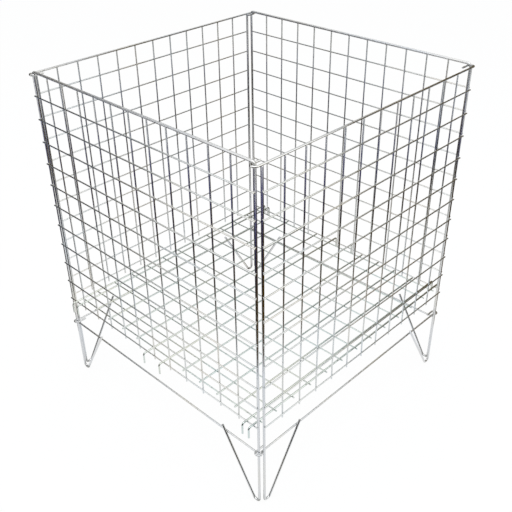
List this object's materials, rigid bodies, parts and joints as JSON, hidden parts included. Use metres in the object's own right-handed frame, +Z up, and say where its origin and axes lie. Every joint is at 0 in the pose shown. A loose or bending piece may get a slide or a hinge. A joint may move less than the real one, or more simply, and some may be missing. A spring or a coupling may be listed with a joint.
{
  "type": "retail dump bin",
  "caption": "Square collapsible wire-mesh dump bin: hinged welded panels on V-shaped wire feet, with a hooked wire shelf as its base.",
  "frame": {"origin": "on the floor under the middle of the bin", "axes": "+Z up; -Y out of the front panel; +X out of the right panel; front and back panels carry the hinge pins"},
  "size_m": [0.6234, 0.6438, 0.75],
  "materials": {
    "frame_wire": "bright plated steel wire",
    "mesh_wire": "bright plated steel wire",
    "shelf_wire": "bright plated steel wire"
  },
  "bodies": {
    "front_panel": {"front_hoop": "frame_wire", "front_left_foot": "frame_wire", "front_right_foot": "frame_wire", "front_bottom_rail": "frame_wire", "front_mesh": "mesh_wire"},
    "back_panel": {"back_hoop": "frame_wire", "back_left_foot": "frame_wire", "back_right_foot": "frame_wire", "back_bottom_rail": "frame_wire", "back_mesh": "mesh_wire"},
    "right_panel": {"right_front_upright": "frame_wire", "right_back_upright": "frame_wire", "right_front_foot": "frame_wire", "right_back_foot": "frame_wire", "right_top_hinge_rail": "frame_wire", "right_bottom_hinge_rail": "frame_wire", "right_mesh": "mesh_wire"},
    "left_panel": {"left_front_upright": "frame_wire", "left_back_upright": "frame_wire", "left_front_foot": "frame_wire", "left_back_foot": "frame_wire", "left_top_hinge_rail": "frame_wire", "left_bottom_hinge_rail": "frame_wire", "left_mesh": "mesh_wire"},
    "shelf": {"shelf_grid": "shelf_wire", "shelf_hook_wire_1": "shelf_wire", "shelf_hook_wire_2": "shelf_wire", "shelf_hook_wire_3": "shelf_wire", "shelf_hook_wire_4": "shelf_wire", "shelf_hook_wire_5": "shelf_wire", "shelf_hook_wire_6": "shelf_wire"}
  },
  "joints": [
    {"name": "right_fold", "type": "hinge", "parent": "front_panel", "child": "right_panel", "pos_m": [0.3, -0.303, 0], "axis": [0, 0, 1], "range_deg": [-1.5, 0.3]},
    {"name": "left_fold", "type": "hinge", "parent": "front_panel", "child": "left_panel", "pos_m": [-0.3, -0.303, 0], "axis": [0, 0, 1], "range_deg": [-1.5, 0.3]},
    {"name": "back_fold", "type": "hinge", "parent": "right_panel", "child": "back_panel", "pos_m": [0.3, 0.303, 0], "axis": [0, 0, 1], "range_deg": [-0.3, 1.5]},
    {"name": "shelf_lift", "type": "slide", "parent": "front_panel", "child": "shelf", "axis": [0, 0, 1], "range_m": [0, 0.04]}
  ],
  "couplings": [
    {"joint": "left_fold", "follows": "right_fold", "ratio": 1},
    {"joint": "back_fold", "follows": "right_fold", "ratio": -1}
  ]
}
